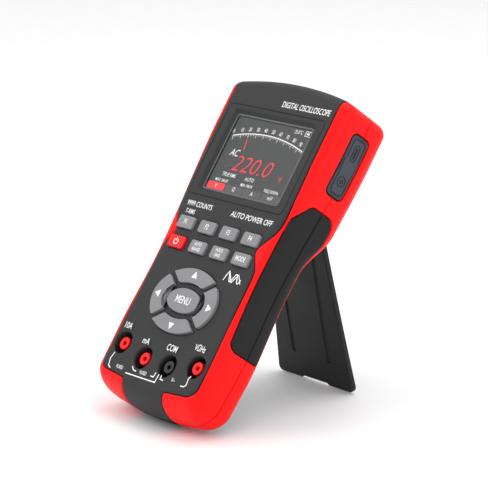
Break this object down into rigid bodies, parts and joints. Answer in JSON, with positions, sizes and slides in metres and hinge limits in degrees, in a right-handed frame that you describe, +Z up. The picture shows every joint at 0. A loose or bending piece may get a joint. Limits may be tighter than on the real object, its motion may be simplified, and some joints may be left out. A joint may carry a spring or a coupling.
{
  "type": "digital oscilloscope",
  "caption": "Handheld oscilloscope and multimeter with a dark face, red bumper edges, screen, keypad, banana jacks, side port cover and folding stand, leaning back on the stand.",
  "frame": {"origin": "centre of the bounding box's footprint, on the ground plane the bottom edge and the stand's foot rest on", "axes": "+Z up; the face leans back and looks towards -Y and up, its lower end at -Y; +X is to the right as one looks at the face, and the port cover is on that side"},
  "size_m": [0.089, 0.1246, 0.1572],
  "materials": {
    "case": "fine matte texture",
    "overmould": "smooth soft-touch overmould",
    "grip": "matte grip rubber",
    "cover": "matte slate grey",
    "stand": "satin",
    "glass": "clear, scratch-resistant",
    "screen": "dark display",
    "key": "matte",
    "power_key": "matte",
    "silicone": "soft",
    "board": "solder mask",
    "chip": "moulded",
    "steel": "plated",
    "brass": "plated",
    "jack_red": "moulded",
    "jack_black": "moulded",
    "cell": "shrink sleeve"
  },
  "bodies": {
    "meter": {"battery_cell": "cell", "battery_contact_negative": "brass", "battery_contact_positive": "brass", "battery_door": "case", "buzzer": "chip", "case_screw_bottom_left": "steel", "case_screw_bottom_right": "steel", "case_screw_top_left": "steel", "case_screw_top_right": "steel", "charging_socket": "steel", "display_lens": "glass", "display_module": "screen", "front_bumper_left": "overmould", "front_bumper_right": "overmould", "front_case": "case", "front_grip_left": "grip", "front_grip_right": "grip", "fuse_10a": "steel", "fuse_clip_10a_left": "brass", "fuse_clip_10a_right": "brass", "fuse_clip_ma_left": "brass", "fuse_clip_ma_right": "brass", "fuse_ma": "steel", "jack_post_10a": "jack_red", "jack_post_com": "jack_black", "jack_post_ma": "jack_red", "jack_post_volt": "jack_red", "jack_socket_10a": "brass", "jack_socket_com": "brass", "jack_socket_ma": "brass", "jack_socket_volt": "brass", "keypad_membrane": "silicone", "main_board": "board", "port_board": "board", "probe_socket": "brass", "processor_chip": "chip", "rear_bumper_left": "overmould", "rear_bumper_right": "overmould", "rear_case": "case", "rear_grip_left": "grip", "rear_grip_right": "grip", "shield_can": "steel", "stand_pin": "steel"},
    "key_f1": {"key_f1": "key"},
    "key_f2": {"key_f2": "key"},
    "key_f3": {"key_f3": "key"},
    "key_f4": {"key_f4": "key"},
    "key_power": {"key_power": "power_key"},
    "key_range": {"key_range": "key"},
    "key_hold": {"key_hold": "key"},
    "key_mode": {"key_mode": "key"},
    "key_right": {"key_right": "key"},
    "key_up": {"key_up": "key"},
    "key_left": {"key_left": "key"},
    "key_down": {"key_down": "key"},
    "key_menu": {"key_menu": "key"},
    "port_cover": {"port_cover": "cover"},
    "stand": {"stand": "stand"}
  },
  "joints": [
    {"name": "press_f1", "type": "slide", "parent": "meter", "child": "key_f1", "axis": [0, 0.8251, -0.565], "range_m": [0, 0.001], "stiffness_N_per_m": 400, "springref_m": -0.001},
    {"name": "press_f2", "type": "slide", "parent": "meter", "child": "key_f2", "axis": [0, 0.8251, -0.565], "range_m": [0, 0.001], "stiffness_N_per_m": 400, "springref_m": -0.001},
    {"name": "press_f3", "type": "slide", "parent": "meter", "child": "key_f3", "axis": [0, 0.8251, -0.565], "range_m": [0, 0.001], "stiffness_N_per_m": 400, "springref_m": -0.001},
    {"name": "press_f4", "type": "slide", "parent": "meter", "child": "key_f4", "axis": [0, 0.8251, -0.565], "range_m": [0, 0.001], "stiffness_N_per_m": 400, "springref_m": -0.001},
    {"name": "press_power", "type": "slide", "parent": "meter", "child": "key_power", "axis": [0, 0.8251, -0.565], "range_m": [0, 0.001], "stiffness_N_per_m": 400, "springref_m": -0.001},
    {"name": "press_range", "type": "slide", "parent": "meter", "child": "key_range", "axis": [0, 0.8251, -0.565], "range_m": [0, 0.001], "stiffness_N_per_m": 400, "springref_m": -0.001},
    {"name": "press_hold", "type": "slide", "parent": "meter", "child": "key_hold", "axis": [0, 0.8251, -0.565], "range_m": [0, 0.001], "stiffness_N_per_m": 400, "springref_m": -0.001},
    {"name": "press_mode", "type": "slide", "parent": "meter", "child": "key_mode", "axis": [0, 0.8251, -0.565], "range_m": [0, 0.001], "stiffness_N_per_m": 400, "springref_m": -0.001},
    {"name": "press_right", "type": "slide", "parent": "meter", "child": "key_right", "axis": [0, 0.8251, -0.565], "range_m": [0, 0.001], "stiffness_N_per_m": 400, "springref_m": -0.001},
    {"name": "press_up", "type": "slide", "parent": "meter", "child": "key_up", "axis": [0, 0.8251, -0.565], "range_m": [0, 0.001], "stiffness_N_per_m": 400, "springref_m": -0.001},
    {"name": "press_left", "type": "slide", "parent": "meter", "child": "key_left", "axis": [0, 0.8251, -0.565], "range_m": [0, 0.001], "stiffness_N_per_m": 400, "springref_m": -0.001},
    {"name": "press_down", "type": "slide", "parent": "meter", "child": "key_down", "axis": [0, 0.8251, -0.565], "range_m": [0, 0.001], "stiffness_N_per_m": 400, "springref_m": -0.001},
    {"name": "press_menu", "type": "slide", "parent": "meter", "child": "key_menu", "axis": [0, 0.8251, -0.565], "range_m": [0, 0.001], "stiffness_N_per_m": 400, "springref_m": -0.001},
    {"name": "stand_fold", "type": "hinge", "parent": "meter", "child": "stand", "pos_m": [0, 0.03353, 0.09835], "axis": [1, 0, 0], "range_deg": [-45.7, 0]},
    {"name": "port_cover_open", "type": "hinge", "parent": "meter", "child": "port_cover", "pos_m": [0.0447, 0.03692, 0.11905], "axis": [0, 0.565, 0.8251], "range_deg": [0, 100]}
  ]
}
